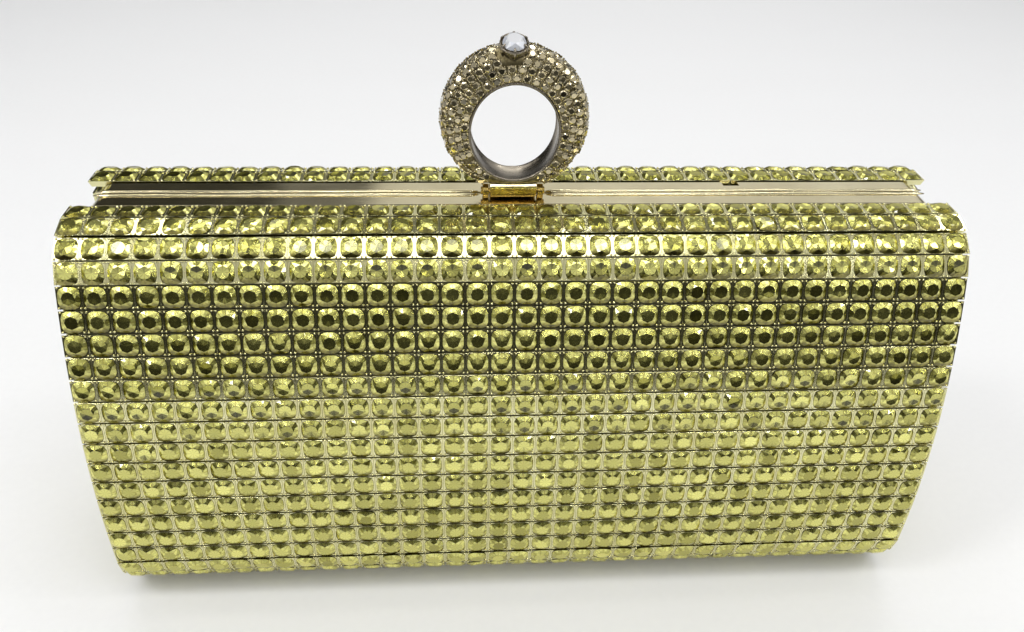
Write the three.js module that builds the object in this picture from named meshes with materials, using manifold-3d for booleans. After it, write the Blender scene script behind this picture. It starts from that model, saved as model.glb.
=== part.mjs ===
// Hard evening bag (box clutch) with a finger-ring latch, in millimetres.
// The bag stands on its bottom: +Z is up, -Y is the front, +X is the right as seen from the front.
// The origin is on the floor, at the middle of the bag's outline.
import * as THREE from 'three';
import { mergeVertices } from 'three/addons/utils/BufferGeometryUtils.js';
import Module from 'manifold-3d';

const wasm = await Module();
wasm.setup();

// ---------------------------------------------------------------- driving dimensions
const GAP = 0.3;                        // clearance between pieces that rest on each other
const STONE_PITCH = 5;                  // one crystal cell of the cladding
const COLUMNS = 37;                     // cells across the bag
const ROWS = 24;                        // cells around each half, from top rail to foot rail
const WIDTH = COLUMNS * STONE_PITCH;

const RAIL_HALF = 5.5;                  // each polished rail, from the split plane outwards
const RAIL_INSET = 2.5;                 // the frame stops this far short of the crystal ends
const RAIL_DEPTH = 4.2;                 // depth of the frame behind its polished face
const SPLIT = 0.15;                     // each half stays this far off the split plane

const SHOULDER_FLAT = 3.5;              // flat beside the rail, before the shoulder
const SHOULDER_RADIUS = 13;
const SHOULDER_TURN = THREE.MathUtils.degToRad(69.5);
const FACE_RADIUS = 175;                // slight crown of the front and back faces
const FACE_TURN = THREE.MathUtils.degToRad(92.5);
const FOOT_RADIUS = 14.5;               // rounded bottom edge

const CLADDING = 2.2;                   // crystal mesh thickness
const SHELL_WALL = 1.2;
const LINING = 0.8;

const HINGE_Z = 1.3;                    // height of the hinge axis, on the split plane
const KNUCKLE_RADIUS = 1.2;
const HINGE_PIN_RADIUS = 0.5;
const HINGE_BORE = 0.75;
const HINGE_LENGTH = 171;
const KNUCKLES = 9;
const LEAF_THICKNESS = 0.6;
const LEAF_REACH = 4.7;                 // leaf edge, from the split plane
const CHANNEL_REACH = 5;                // hinge channel under the frame
const CHANNEL_DEPTH = 2.2;
const RIVET_SPOTS = [-72, -24, 24, 72]; // along X, on each leaf
const RIVET_OUT = 3.2;

const RING_X = -2;                      // the ring stands slightly left of the middle
const HOLE_HALF_WIDTH = 9.3;
const HOLE_HALF_HEIGHT = 10.45;
const HOLE_RISE = 14.95;                // middle of the finger hole above the rails
const BAND_RADIUS = 15.05;
const BAND_RISE = 17;                   // middle of the band's outside above the rails
const BAND_HALF_DEPTH = 3.5;
const BAND_BEVEL = 1;
const SEAT_RISE = 3.6;                  // flat underside of the band

const BLOCK_HALF_WIDTH = 4.85;
const BLOCK_HALF_DEPTH = 3.4;
const BLOCK_BOTTOM = 0.35;
const BLOCK_TOP = SEAT_RISE - GAP;
const PIVOT_OUT = -1.6;                 // latch pivot, in front of the split plane
const PIVOT_RISE = 1.5;
const PIVOT_RADIUS = 0.5;
const PIVOT_BORE = 0.75;
const NOSE = { halfWidth: 3, front: 1.4, back: 2.4, drop: 1.2 };
const KEEPER_SLOT = { halfWidth: 3.4, front: 1.1, back: 3.35, depth: 2 };
const CHAIN_NOTCH = { x: 47, length: 3.6, front: 3.3, depth: 1.2 };

const STONE_TILT = THREE.MathUtils.degToRad(25);
const STONE_RADIUS = 2.9;
const SETTING_RADIUS = 3.9;
const SETTING_OUT = -1.8;
const SETTING_RISE = 32;

// ---------------------------------------------------------------- materials
const metal = (colour, roughness) =>
  new THREE.MeshStandardMaterial({ color: colour, roughness, metalness: 1 });
const plain = (colour, roughness) =>
  new THREE.MeshStandardMaterial({ color: colour, roughness, metalness: 0 });

const crystalCladding = metal(0xc3c463, 0.35);
const champagneMetal = metal(0xb3a784, 0.22);
const shellMetal = metal(0x8f8a72, 0.5);
const brightGold = metal(0xa98b3a, 0.25);
const antiqueGold = metal(0x7d7150, 0.35);
const satin = plain(0x8c8353, 0.8);
const springSteel = metal(0x9a9a9a, 0.3);
const clearStone = plain(0xdfe4f2, 0.05);

// ---------------------------------------------------------------- solids
function toManifold(geometry) {
  const bare = geometry.index ? geometry.toNonIndexed() : geometry.clone();
  bare.deleteAttribute('normal');
  bare.deleteAttribute('uv');
  const merged = mergeVertices(bare, 1e-4);
  return new wasm.Manifold(new wasm.Mesh({
    numProp: 3,
    vertProperties: new Float32Array(merged.attributes.position.array),
    triVerts: new Uint32Array(merged.index.array),
  }));
}

function toGeometry(solid) {
  const mesh = solid.getMesh();
  const geometry = new THREE.BufferGeometry();
  geometry.setAttribute('position', new THREE.BufferAttribute(mesh.vertProperties, 3));
  geometry.setIndex(new THREE.BufferAttribute(mesh.triVerts, 1));
  return geometry;
}

function cut(geometry, ...tools) {
  const solid = tools.reduce((rest, tool) => rest.subtract(toManifold(tool)), toManifold(geometry));
  return toGeometry(solid);
}

function join(geometry, ...others) {
  const solid = others.reduce((rest, other) => rest.add(toManifold(other)), toManifold(geometry));
  return toGeometry(solid);
}

// A box from its low corner to its high corner.
function block(low, high) {
  const size = high.map((value, axis) => value - low[axis]);
  const middle = high.map((value, axis) => (value + low[axis]) / 2);
  return new THREE.BoxGeometry(...size).translate(...middle);
}

// A round bar along X, centred at (x, y, z).
function barAlongX(radius, length, x, y, z, sides = 12) {
  return new THREE.CylinderGeometry(radius, radius, length, sides)
    .rotateZ(Math.PI / 2).translate(x, y, z);
}

// A round bar along Z, from low to high.
function barAlongZ(radius, x, y, low, high, sides = 12) {
  return new THREE.CylinderGeometry(radius, radius, high - low, sides)
    .rotateX(Math.PI / 2).translate(x, y, (low + high) / 2);
}

// A tube around the X axis, centred at (x, y, z).
function tubeAlongX(inner, outer, length, x, y, z, sides = 12) {
  const half = length / 2;
  const profile = [[inner, -half], [outer, -half], [outer, half], [inner, half], [inner, -half]]
    .map(([radius, along]) => new THREE.Vector2(radius, along));
  return new THREE.LatheGeometry(profile, sides).rotateZ(Math.PI / 2).translate(x, y, z);
}

// ---------------------------------------------------------------- the bag's section
// Points (out, z) of one half's outside, from the top rail round to the foot rail. Out is the
// distance from the split plane. Three arcs follow the flat beside the rail; inset moves the
// whole outline inwards.
const direction = (turn) => [Math.sin(turn), Math.cos(turn)];
const HEIGHT = SHOULDER_RADIUS * (1 - Math.cos(SHOULDER_TURN))
  + FACE_RADIUS * (Math.cos(SHOULDER_TURN) - Math.cos(FACE_TURN))
  + FOOT_RADIUS * (Math.cos(FACE_TURN) + 1);

function arcCentres() {
  const shoulder = [RAIL_HALF + SHOULDER_FLAT, HEIGHT - SHOULDER_RADIUS];
  const [outA, upA] = direction(SHOULDER_TURN);
  const stepA = SHOULDER_RADIUS - FACE_RADIUS;
  const face = [shoulder[0] + stepA * outA, shoulder[1] + stepA * upA];
  const [outB, upB] = direction(FACE_TURN);
  const stepB = FACE_RADIUS - FOOT_RADIUS;
  const foot = [face[0] + stepB * outB, face[1] + stepB * upB];
  return { shoulder, face, foot };
}

const CENTRES = arcCentres();
const ARCS = [
  { centre: CENTRES.shoulder, radius: SHOULDER_RADIUS, from: 0, to: SHOULDER_TURN, steps: 6 },
  { centre: CENTRES.face, radius: FACE_RADIUS, from: SHOULDER_TURN, to: FACE_TURN, steps: 6 },
  { centre: CENTRES.foot, radius: FOOT_RADIUS, from: FACE_TURN, to: Math.PI, steps: 8 },
];
const TOP_FLAT_END = RAIL_HALF + SHOULDER_FLAT;
const ARC_LENGTH = ARCS.reduce((sum, arc) => sum + arc.radius * (arc.to - arc.from), 0);
const FOOT_RAIL_HALF = CENTRES.foot[0] - (ROWS * STONE_PITCH - SHOULDER_FLAT - ARC_LENGTH);

function sectionPoints(inset, topOut, footOut) {
  const points = [[topOut, HEIGHT - inset], [TOP_FLAT_END, HEIGHT - inset]];
  for (const { centre, radius, from, to, steps } of ARCS) {
    for (let step = 1; step <= steps; step += 1) {
      const [out, up] = direction(from + (to - from) * step / steps);
      points.push([centre[0] + (radius - inset) * out, centre[1] + (radius - inset) * up]);
    }
  }
  points.push([footOut, inset]);
  return points;
}

// Extrudes an outline of (out, z) points along X, for the back half, where out is +Y.
function extrudeAcross(points, low, high) {
  const outline = new THREE.Shape(points.map(([out, z]) => new THREE.Vector2(out, z)));
  const solid = new THREE.ExtrudeGeometry(outline, { depth: high - low, bevelEnabled: false });
  const turn = new THREE.Matrix4().makeBasis(
    new THREE.Vector3(0, 1, 0), new THREE.Vector3(0, 0, 1), new THREE.Vector3(1, 0, 0));
  return solid.applyMatrix4(turn).translate(low, 0, 0);
}

// An open tray that follows the section, with its mouth just outside the frame.
function tray(inset, wall, endInset) {
  const mouth = RAIL_HALF + GAP;
  const half = WIDTH / 2 - endInset;
  const outside = extrudeAcross(sectionPoints(inset, mouth, mouth), -half, half);
  const inside = extrudeAcross(sectionPoints(inset + wall, mouth - 1, mouth - 1), wall - half, half - wall);
  return cut(outside, inside);
}

function crystalWrap() {
  const outside = sectionPoints(0, RAIL_HALF + GAP, FOOT_RAIL_HALF);
  const inside = sectionPoints(CLADDING, RAIL_HALF + GAP, FOOT_RAIL_HALF).reverse();
  return extrudeAcross([...outside, ...inside], -WIDTH / 2, WIDTH / 2);
}

function crystalEnd(side) {
  const inset = CLADDING + GAP;
  const outline = sectionPoints(inset, RAIL_HALF + GAP, RAIL_HALF + GAP);
  const far = side * WIDTH / 2;
  const near = side * (WIDTH / 2 - CLADDING);
  return extrudeAcross(outline, Math.min(near, far), Math.max(near, far));
}

// ---------------------------------------------------------------- the polished frame
function roundedRectangle(left, right, bottom, top, radius) {
  const outline = new THREE.Shape();
  outline.moveTo(left + radius, bottom);
  outline.lineTo(right - radius, bottom);
  outline.absarc(right - radius, bottom + radius, radius, -Math.PI / 2, 0);
  outline.lineTo(right, top - radius);
  outline.absarc(right - radius, top - radius, radius, 0, Math.PI / 2);
  outline.lineTo(left + radius, top);
  outline.absarc(left + radius, top - radius, radius, Math.PI / 2, Math.PI);
  outline.lineTo(left, bottom + radius);
  outline.absarc(left + radius, bottom + radius, radius, Math.PI, Math.PI * 1.5);
  return outline;
}

const FRAME_CORNER = 3;
const FRAME_BEVEL = 0.5;

function frameLoop() {
  const half = WIDTH / 2 - RAIL_INSET;
  const outline = roundedRectangle(
    FRAME_BEVEL - half, half - FRAME_BEVEL, FRAME_BEVEL, HEIGHT - FRAME_BEVEL, FRAME_CORNER);
  const inner = half - RAIL_DEPTH + FRAME_BEVEL;
  outline.holes.push(roundedRectangle(
    -inner, inner, RAIL_DEPTH - FRAME_BEVEL, HEIGHT - RAIL_DEPTH + FRAME_BEVEL, 1));
  const width = RAIL_HALF - SPLIT;
  return new THREE.ExtrudeGeometry(outline, {
    depth: width - 2 * FRAME_BEVEL, curveSegments: 4,
    bevelEnabled: true, bevelThickness: FRAME_BEVEL, bevelSize: FRAME_BEVEL, bevelSegments: 2,
  }).rotateX(Math.PI / 2).translate(0, RAIL_HALF - FRAME_BEVEL, 0);
}

// The frame of one half, with its foot flange, hinge channel and rivet holes. Out is +Y.
function frame(...moreCuts) {
  const half = WIDTH / 2 - RAIL_INSET;
  const flange = block(
    [-half, RAIL_HALF - 1, 0], [half, FOOT_RAIL_HALF - GAP, CHANNEL_DEPTH]);
  const channel = block([-WIDTH, -1, -1], [WIDTH, CHANNEL_REACH, CHANNEL_DEPTH]);
  const groove = block([-WIDTH, -1, -1], [WIDTH, KNUCKLE_RADIUS + 0.4, HINGE_Z + KNUCKLE_RADIUS + 0.4]);
  const holes = RIVET_SPOTS.map((x) => barAlongZ(1, x, RIVET_OUT, 1, RAIL_DEPTH - 0.3, 8));
  return cut(join(frameLoop(), flange), channel, groove, ...holes, ...moreCuts);
}

// ---------------------------------------------------------------- the hinge
// One leaf with its knuckles. The first leaf holds knuckles 0, 2, 4...; the second 1, 3, 5...
function hingeLeaf(first) {
  const pitch = HINGE_LENGTH / KNUCKLES;
  const start = -HINGE_LENGTH / 2;
  const clear = KNUCKLE_RADIUS + 0.4;
  const top = HINGE_Z + LEAF_THICKNESS;
  let leaf = block([start, clear, HINGE_Z], [-start, LEAF_REACH, top]);
  for (let index = first; index < KNUCKLES; index += 2) {
    const low = start + pitch * index + GAP / 2;
    const high = low + pitch - GAP;
    const middle = (low + high) / 2;
    leaf = join(
      leaf,
      block([low, 0.9, HINGE_Z], [high, clear + 0.5, top]),
      barAlongX(KNUCKLE_RADIUS, high - low, middle, 0, HINGE_Z));
  }
  const bore = barAlongX(HINGE_BORE, HINGE_LENGTH + 2, 0, 0, HINGE_Z);
  const holes = RIVET_SPOTS.map((x) => barAlongZ(1, x, RIVET_OUT, HINGE_Z - 1, top + 1, 8));
  return cut(leaf, bore, ...holes);
}

function rivet(x) {
  const head = barAlongZ(1.4, x, RIVET_OUT, HINGE_Z - 0.75, HINGE_Z - GAP, 10);
  const shank = barAlongZ(0.7, x, RIVET_OUT, HINGE_Z - 0.5, RAIL_DEPTH - 0.6, 10);
  return join(head, shank);
}

// ---------------------------------------------------------------- the ring latch
// These stand on the rails: z is counted from the top of the frame.
function keeperSlot() {
  const { halfWidth, front, back, depth } = KEEPER_SLOT;
  return block(
    [RING_X - halfWidth, front, HEIGHT - depth], [RING_X + halfWidth, back, HEIGHT + 1]);
}

function chainNotch() {
  const { x, length, front, depth } = CHAIN_NOTCH;
  return block(
    [x - length / 2, front, HEIGHT - depth], [x + length / 2, RAIL_HALF + 1, HEIGHT + 1]);
}

function ringBase() {
  const body = block(
    [-BLOCK_HALF_WIDTH, -BLOCK_HALF_DEPTH, BLOCK_BOTTOM],
    [BLOCK_HALF_WIDTH, BLOCK_HALF_DEPTH, BLOCK_TOP]);
  const nose = block(
    [-NOSE.halfWidth, NOSE.front, -NOSE.drop], [NOSE.halfWidth, NOSE.back, BLOCK_BOTTOM + 0.5]);
  const toe = new THREE.Shape([
    new THREE.Vector2(-BLOCK_HALF_DEPTH - 1, BLOCK_BOTTOM - 1),
    new THREE.Vector2(-2.5, BLOCK_BOTTOM - 1),
    new THREE.Vector2(-2.5, BLOCK_BOTTOM),
    new THREE.Vector2(-BLOCK_HALF_DEPTH, BLOCK_BOTTOM + 0.45),
    new THREE.Vector2(-BLOCK_HALF_DEPTH - 1, BLOCK_BOTTOM + 0.45),
  ]);
  const toeCut = new THREE.ExtrudeGeometry(toe, { depth: 20, bevelEnabled: false })
    .applyMatrix4(new THREE.Matrix4().makeBasis(
      new THREE.Vector3(0, 1, 0), new THREE.Vector3(0, 0, 1), new THREE.Vector3(1, 0, 0)))
    .translate(-10, 0, 0);
  const bore = barAlongX(PIVOT_BORE, 20, 0, PIVOT_OUT, PIVOT_RISE);
  const springRoom = barAlongX(1.3, 4.4, 0, PIVOT_OUT, PIVOT_RISE);
  return cut(join(body, nose), toeCut, bore, springRoom);
}

function latchEar(side) {
  const inner = BLOCK_HALF_WIDTH + GAP;
  const outer = inner + 1.25;
  const plate = block(
    [Math.min(side * inner, side * outer), PIVOT_OUT - 1.4, GAP],
    [Math.max(side * inner, side * outer), PIVOT_OUT + 1.4, PIVOT_RISE + 1.4]);
  return cut(plate, barAlongX(PIVOT_BORE, 20, 0, PIVOT_OUT, PIVOT_RISE));
}

// The band is an upright round plate with an oval finger hole, cut flat where it sits.
function ringBand() {
  const outline = new THREE.Shape();
  outline.absarc(0, BAND_RISE, BAND_RADIUS - BAND_BEVEL, 0, Math.PI * 2);
  const hole = new THREE.Path();
  hole.absellipse(
    0, HOLE_RISE, HOLE_HALF_WIDTH + BAND_BEVEL, HOLE_HALF_HEIGHT + BAND_BEVEL, 0, Math.PI * 2);
  outline.holes.push(hole);
  const band = new THREE.ExtrudeGeometry(outline, {
    depth: 2 * (BAND_HALF_DEPTH - BAND_BEVEL), curveSegments: 36,
    bevelEnabled: true, bevelThickness: BAND_BEVEL, bevelSize: BAND_BEVEL, bevelSegments: 2,
  }).rotateX(Math.PI / 2).translate(0, BAND_HALF_DEPTH - BAND_BEVEL, 0);
  const underside = block([-20, -10, -5], [20, 10, SEAT_RISE]);
  return cut(band, underside, inSetting(barAlongZ(SETTING_RADIUS + GAP, 0, 0, -1.5, 8, 24)));
}

// Places a piece made around its own Z axis at the tilted seat on top of the band.
function inSetting(geometry) {
  return geometry.rotateX(STONE_TILT).translate(0, SETTING_OUT, SETTING_RISE);
}

function stoneSetting() {
  const cup = barAlongZ(SETTING_RADIUS, 0, 0, -1.2, 1.4, 24);
  return inSetting(cut(cup, barAlongZ(STONE_RADIUS + GAP, 0, 0, 0, 3, 24)));
}

function solitaire() {
  const profile = [[0, GAP], [1.3, 0.6], [STONE_RADIUS, 1.3], [STONE_RADIUS, 1.6], [1.7, 2.8], [0, 2.8]];
  const stone = new THREE.LatheGeometry(profile.map(([r, z]) => new THREE.Vector2(r, z)), 16);
  return inSetting(stone.rotateX(Math.PI / 2));
}

// ---------------------------------------------------------------- assembly
function part(name, geometry, material) {
  const mesh = new THREE.Mesh(geometry, material);
  mesh.name = name;
  return mesh;
}

// One half of the bag, built with out along +Y; the front half is the same turned about Z.
function half(name, firstKnuckle, ...frameCuts) {
  const group = new THREE.Group();
  const shellInset = CLADDING + GAP;
  const liningInset = shellInset + SHELL_WALL + GAP;
  const left = name === 'front' ? 1 : -1;
  group.add(
    part(`${name}_shell`, tray(shellInset, SHELL_WALL, shellInset), shellMetal),
    part(`${name}_crystal_mesh`, crystalWrap(), crystalCladding),
    part(`${name}_left_end_mesh`, crystalEnd(left), crystalCladding),
    part(`${name}_right_end_mesh`, crystalEnd(-left), crystalCladding),
    part(`${name}_frame`, frame(...frameCuts), champagneMetal),
    part(`${name}_lining`, tray(liningInset, LINING, liningInset), satin),
    part(`${name}_hinge_leaf`, hingeLeaf(firstKnuckle), champagneMetal),
  );
  RIVET_SPOTS.forEach((x, index) => {
    group.add(part(`${name}_hinge_rivet_${index + 1}`, rivet(x), champagneMetal));
  });
  return group;
}

function ringLatch() {
  const group = new THREE.Group();
  const coil = tubeAlongX(0.75, 1.05, 3.6, 0, PIVOT_OUT, PIVOT_RISE);
  const pin = barAlongX(PIVOT_RADIUS, 2 * (BLOCK_HALF_WIDTH + 1.85), 0, PIVOT_OUT, PIVOT_RISE, 10);
  group.add(
    part('latch_ear_left', latchEar(-1), brightGold),
    part('latch_ear_right', latchEar(1), brightGold),
    part('latch_pin', pin, brightGold),
    part('latch_spring', coil, springSteel),
    part('ring_base', ringBase(), brightGold),
    part('ring_band', ringBand(), antiqueGold),
    part('stone_setting', stoneSetting(), antiqueGold),
    part('solitaire_stone', solitaire(), clearStone),
  );
  group.position.set(RING_X, 0, HEIGHT);
  return group;
}

const bag = new THREE.Group();
const frontHalf = half('front', 0);
frontHalf.rotation.z = Math.PI;
const hingePin = part(
  'hinge_pin', barAlongX(HINGE_PIN_RADIUS, HINGE_LENGTH + 2, 0, 0, HINGE_Z, 10), springSteel);
bag.add(frontHalf, half('back', 1, keeperSlot(), chainNotch()), hingePin, ringLatch());

export default bag;
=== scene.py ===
"""Looks of a hard evening bag with a finger-ring latch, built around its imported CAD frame.

Lengths in the constants are millimetres. -Y is the bag's front, +Z is up.
"""
import math

import bmesh
import bpy
import numpy as np
from mathutils import Matrix, Vector, noise


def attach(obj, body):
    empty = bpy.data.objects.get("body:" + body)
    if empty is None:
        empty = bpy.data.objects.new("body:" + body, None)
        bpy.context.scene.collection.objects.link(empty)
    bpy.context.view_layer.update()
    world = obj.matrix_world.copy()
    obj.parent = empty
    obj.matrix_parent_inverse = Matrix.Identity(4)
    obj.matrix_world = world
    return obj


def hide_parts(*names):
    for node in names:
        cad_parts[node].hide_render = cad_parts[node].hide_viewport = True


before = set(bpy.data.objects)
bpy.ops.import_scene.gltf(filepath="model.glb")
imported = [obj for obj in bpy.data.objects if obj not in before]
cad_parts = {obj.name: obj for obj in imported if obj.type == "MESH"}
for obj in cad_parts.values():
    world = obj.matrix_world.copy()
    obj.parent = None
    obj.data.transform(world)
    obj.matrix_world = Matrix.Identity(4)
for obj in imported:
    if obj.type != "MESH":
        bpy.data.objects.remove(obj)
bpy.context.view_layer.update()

MM = 0.001
RANDOM = np.random.default_rng(11)

# ---- the bag's driving dimensions
PITCH = 5.0  # one crystal cell
COLUMNS = 37
ROWS = 24  # rows around each half, from the rail to the foot
HALF_WIDTH = COLUMNS * PITCH / 2
RAIL_HALF = 5.5
MOUTH = 5.8
TOP_FLAT = 3.5
SHOULDER_RADIUS, SHOULDER_TURN = 13.0, math.radians(69.5)
FACE_RADIUS, FACE_TURN = 175.0, math.radians(92.5)
FOOT_RADIUS = 14.5
CLADDING = 2.2
LINING_INSET = 4.0
HEIGHT = (SHOULDER_RADIUS * (1 - math.cos(SHOULDER_TURN))
          + FACE_RADIUS * (math.cos(SHOULDER_TURN) - math.cos(FACE_TURN))
          + FOOT_RADIUS * (math.cos(FACE_TURN) + 1))

# one cell of the cladding; depths are counted inwards from the outside skin
CELL_GAP = 0.03  # between two cups of one row
ROW_GROOVE = 0.4  # between two rows
RIM_DEPTH = 0.68
RIM_BEVEL = 0.03
CUP_BOTTOM = 2.05
CUP_FOOT = 2.0  # half width of a cup's underside
FOOT_CLEAR = 0.25  # how much narrower it is at least than its rim
SEAT_DROP = 0.3
STONE_HALF_U, STONE_HALF_V = 2.16, 2.25  # a stone at its girdle, half across and half up
SEAT_CLEAR = 0.05
GIRDLE_DEPTH = 0.62
TABLE_DEPTH = 0.04
TABLE_RADIUS = 1.34
BREAK_RADIUS = 1.76
BREAK_DEPTH = 0.26
CULET_DEPTH = 0.96
CUSHION_POWER = 3.6  # 2 is round, larger is squarer
PRONG_OUT = 2.08  # prong centres, from the middle of the cell
PRONG_RADIUS = 0.28
PRONG_RISE = 0.28
PRONG_SINK = 0.1
PRONG_SHOULDER, SHOULDER_RISE = 0.82, 0.6  # shares of a prong's radius and rise
TOP_ROWS_PROUD = (0.8, 0.7, 0.3)  # how far the first rows stand above the skin
PAINTED_SHADE_ROWS = 2  # rows beside the back rail, painted darker to stand in for their shade at a grazing view
# how much the painted shade darkens those rows
PAINTED_SHADE_TONE, PAINTED_SHADE_DROP = 0.5, 0.25
FACETS = 8  # main facets around a stone
CRISP_METAL, CRISP_BORDER, CRISP_CLOTH = 35, 40, 50  # degrees above which an edge stays crisp
WRAP_LOOSE, END_LOOSE, PAVE_LOOSE = 0.028, 0.012, 0.1  # how unevenly the stones are seated

# the finger ring, counted from its middle on the rails
RING_X = -2.0
HOLE_HALF_WIDTH, HOLE_HALF_HEIGHT, HOLE_RISE = 9.3, 10.45, 14.95
BAND_RADIUS, BAND_RISE, SEAT_RISE = 15.05, 17.0, 3.6
BLOCK_HALF_WIDTH, BLOCK_HALF_DEPTH = 4.85, 3.4
BLOCK_BOTTOM, BLOCK_TOP = 0.35, 3.3
PIVOT_OUT, PIVOT_RISE = -1.6, 1.5
STONE_TILT = math.radians(25)
SETTING_OUT, SETTING_RISE, SETTING_RADIUS = -1.8, 32.0, 3.35
SETTING_SHIFT, SETTING_SIZE = -0.6, 0.86
SOLITAIRE_RADIUS = 2.75

# the studio: places and sizes in metres, angles in degrees
CAMERA_PLACE = (-0.015, -0.1704, 0.1771)
CAMERA_PITCH, CAMERA_YAW, CAMERA_ROLL = 34.63, 4.67, 1.97
CAMERA_LENS, SENSOR_WIDTH = 30.94, 36.0
BAG_MIDDLE = (0.0, 0.0, 0.07)
SOFTBOXES = (  # name, place, target, (across, up), radiance
    ("front_softbox", (0.0, -0.64, 0.7), BAG_MIDDLE, (2.0, 0.86), 0.6),
    ("top_strip", (0.04, -0.19, 0.67), BAG_MIDDLE, (0.4, 0.11), 5.0),
    ("left_window", (-0.4, -0.16, 0.62), BAG_MIDDLE, (0.14, 0.16), 12.0),
    ("right_window", (0.5, -0.12, 0.66), BAG_MIDDLE, (0.1, 0.14), 10.0),
    ("rear_softbox", (0.27, 0.75, 0.6), BAG_MIDDLE, (0.85, 0.6), 0.56),
    ("left_softbox", (-0.9, -0.1, 0.42), BAG_MIDDLE, (0.9, 0.76), 0.75),
    ("right_softbox", (0.9, -0.1, 0.42), BAG_MIDDLE, (0.9, 0.76), 0.85),
    ("floor_light", (0.0, 0.75, 0.9), (0.0, 0.75, 0.0), (1.2, 0.5), 1.9),
)
SPARK_LIGHTS = 28  # small lamps overhead that the facets catch
SPARK_REACH, SPARK_SIZE, SPARK_RADIANCE = 0.7, 0.028, 24.0
SPARK_SWING = 54  # to each side
SPARK_LEANS = (10, -20, 42, -4, 27, -34, 55)
DARK_CARDS = (  # name, place, half size, pitch
    ("front_card", (0.0, -0.6, 0.13), (0.9, 0.13), 90),
    # the floor card is a dark sheet standing in for the shade on the floor in front, seen only in
    # reflections
    ("floor_shade_card", (0.0, -0.42, 0.001), (0.9, 0.17), 0),
    ("rear_card", (-0.62, 0.7, 0.5), (0.42, 0.3), 90),
)
FLOOR_HALF, FLOOR_STEPS, FLOOR_DROP = 1.6, 24, 0.0002
ROOM_BRIGHT_SIDE = (0.0, 0.5, 0.87)  # behind and above
ROOM_LEVELS = {"From Min": -0.2, "From Max": 0.9, "To Min": 0.03, "To Max": 0.2}
ROOM_SEEN = 0.9  # its brightness to the camera
ROOM_COLOUR = (0.97, 0.98, 1.0, 1)

# the dark and the light end of each colour
CITRINE = ((0.28, 0.27, 0.045), (0.95, 0.945, 0.38))
# the second colour on the next line is painted shade, laid over the lower part of each stone
CITRINE_RIDGE, CITRINE_PAINTED_SHADE = (0.72, 0.68, 0.5, 1), (0.34, 0.31, 0.2, 1)
CUP_METAL = ((0.60, 0.56, 0.27), (0.80, 0.77, 0.46))
ANTIQUE_GOLD = ((0.12, 0.095, 0.045), (0.38, 0.32, 0.17))
CHAMPAGNE_STONE = ((0.045, 0.038, 0.016), (0.72, 0.61, 0.36))
CLEAR = ((0.72, 0.76, 0.86), (1.0, 1.0, 1.0))
METALS = (  # name, dark, light, roughness, stretch of the marks
    ("champagne_rail", (0.62, 0.545, 0.33), (0.78, 0.70, 0.46), (0.08, 0.2), 12.0),
    ("bright_gold", (0.42, 0.29, 0.07), (0.60, 0.44, 0.14), (0.16, 0.34), 3.0),
    ("ring_liner", (0.23, 0.20, 0.15), (0.34, 0.30, 0.24), (0.2, 0.36), 2.0),
    ("pave_beads", (0.32, 0.27, 0.15), (0.52, 0.45, 0.28), (0.15, 0.3), 1.0),
    ("shell_sheet", (0.20, 0.19, 0.12), (0.32, 0.30, 0.2), (0.35, 0.55), 12.0),
    ("spring_steel", (0.45, 0.45, 0.46), (0.6, 0.6, 0.62), (0.2, 0.35), 3.0),
)
FELT = ((0.02, 0.02, 0.018), (0.05, 0.05, 0.04))
PAPER = ((0.86, 0.86, 0.86), (0.9, 0.9, 0.9))


# ---- camera, lights and floor
def make_camera():
    """A view from in front and above, turned a little to the right."""
    data = bpy.data.cameras.new("camera")
    data.sensor_fit = "HORIZONTAL"
    data.sensor_width = SENSOR_WIDTH
    data.lens = CAMERA_LENS
    data.clip_start = 0.01
    data.clip_end = 20.0
    camera = bpy.data.objects.new("camera", data)
    camera.matrix_world = (Matrix.Translation(CAMERA_PLACE)
                           @ Matrix.Rotation(math.radians(-CAMERA_YAW), 4, "Z")
                           @ Matrix.Rotation(math.radians(90 - CAMERA_PITCH), 4, "X")
                           @ Matrix.Rotation(math.radians(CAMERA_ROLL), 4, "Z"))
    bpy.context.collection.objects.link(camera)
    bpy.context.scene.camera = camera


def soft_light(name, place, target, size, radiance):
    """A softbox of size (across, up) metres that looks equally bright from everywhere."""
    data = bpy.data.lights.new(name, "AREA")
    data.shape = "RECTANGLE"
    data.size, data.size_y = size
    data.energy = radiance * math.pi * size[0] * size[1]
    light = bpy.data.objects.new(name, data)
    light.location = place
    aim = Vector(target) - Vector(place)
    light.rotation_euler = aim.to_track_quat("-Z", "Y").to_euler()
    light.visible_camera = False
    bpy.context.collection.objects.link(light)


def make_lights():
    for softbox in SOFTBOXES:
        soft_light(*softbox)
    for number in range(SPARK_LIGHTS):
        swing = math.radians(SPARK_SWING * (2 * number / (SPARK_LIGHTS - 1) - 1))
        lean = math.radians(SPARK_LEANS[number % len(SPARK_LEANS)])
        place = (SPARK_REACH * math.sin(swing),
                 -SPARK_REACH * math.cos(swing) * math.sin(lean),
                 SPARK_REACH * math.cos(swing) * math.cos(lean))
        soft_light(f"spark_{number}", place, BAG_MIDDLE, (SPARK_SIZE, SPARK_SIZE),
                   SPARK_RADIANCE)
    felt = felt_material()
    for name, place, half_size, pitch in DARK_CARDS:
        dark_card(name, felt, place, half_size, pitch)
    make_studio()


def felt_material():
    shader = Shader("card_felt")
    fibre = shader.noise(shader.places(), scale=0.2, detail=4.0)
    shader.feed("Base Color", shader.tint(fibre, *FELT))
    shader.feed("Roughness", shader.spread(fibre, 0.8, 1.0))
    return shader.material


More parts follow.
